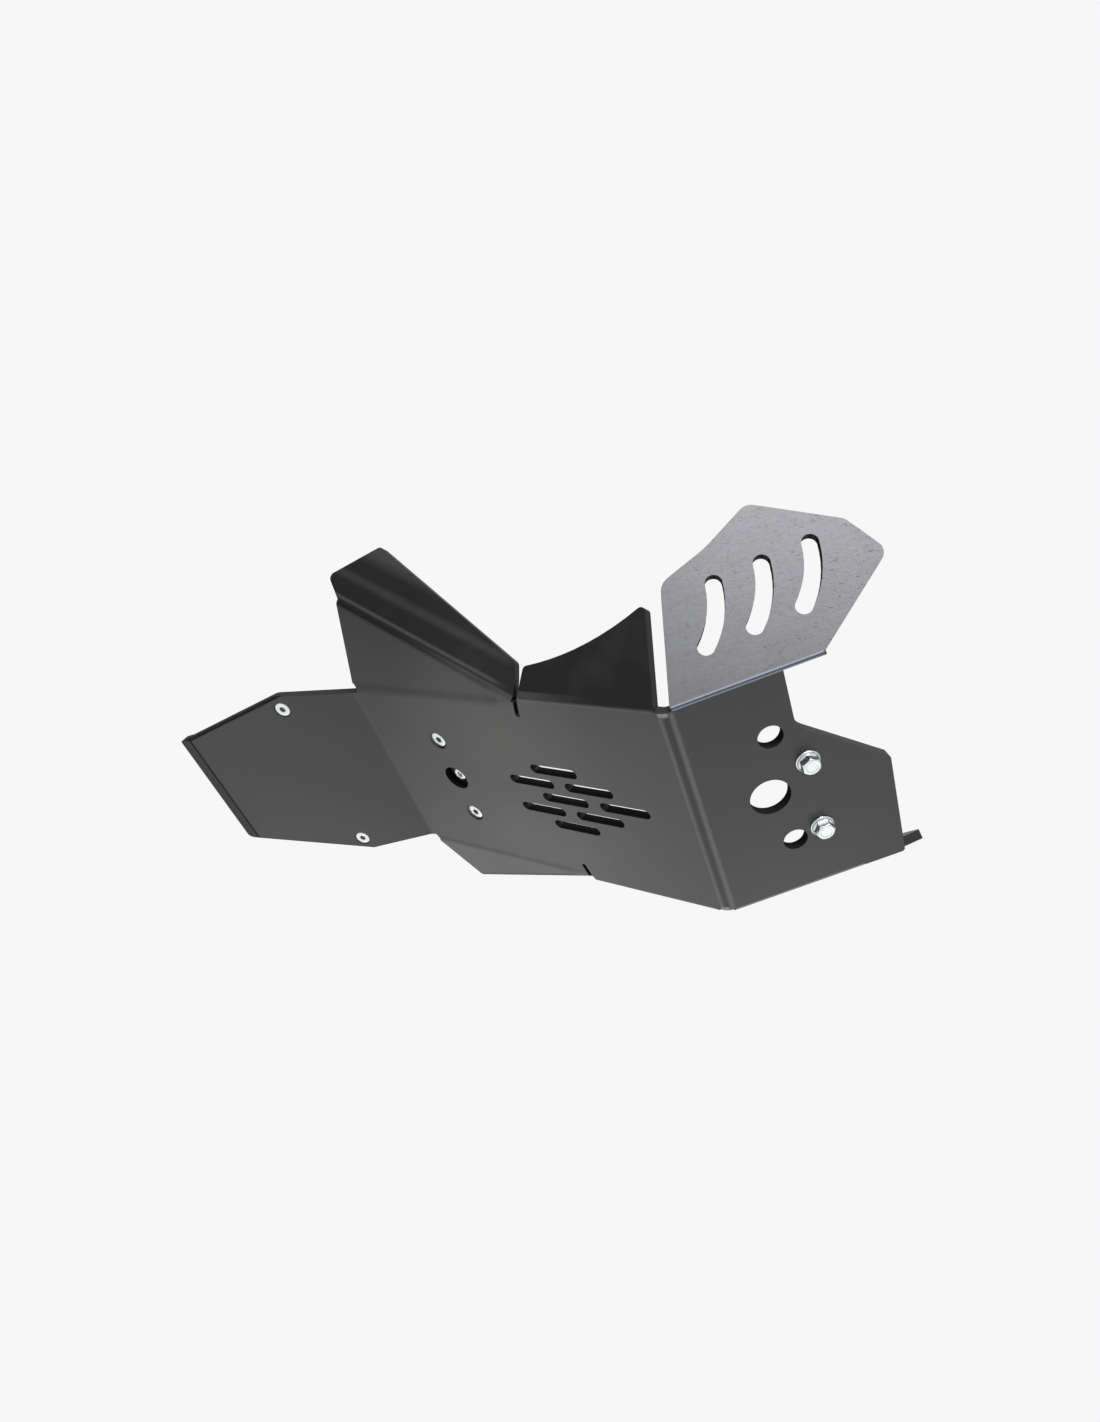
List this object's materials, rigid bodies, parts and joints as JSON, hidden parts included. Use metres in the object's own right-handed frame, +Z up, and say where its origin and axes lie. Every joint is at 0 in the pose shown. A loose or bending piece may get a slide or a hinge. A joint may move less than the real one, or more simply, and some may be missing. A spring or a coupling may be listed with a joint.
{
  "type": "motorcycle skid plate",
  "caption": "Motorcycle skid plate folded from one black plastic sheet, with vented belly, slotted front wings, creased rear wings and sloping rear guard, with its bolts, screws and bracket.",
  "frame": {"origin": "middle of the bounding box at floor level, where the front fold and the fold of the rear lip rest on the floor", "axes": "+X forward, +Y to the left side of the motorcycle, +Z up"},
  "size_m": [0.5182, 0.312, 0.1116],
  "materials": {
    "black_sheet": "satin black polyethylene, lightened along the folds and scuffed",
    "zinc_steel": "bright zinc plate",
    "bracket_paint": "matt black"
  },
  "bodies": {
    "root": {"skid_plate": "black_sheet", "front_bolts": "zinc_steel", "countersunk_screws": "zinc_steel", "rear_bracket": "bracket_paint"}
  },
  "joints": []
}
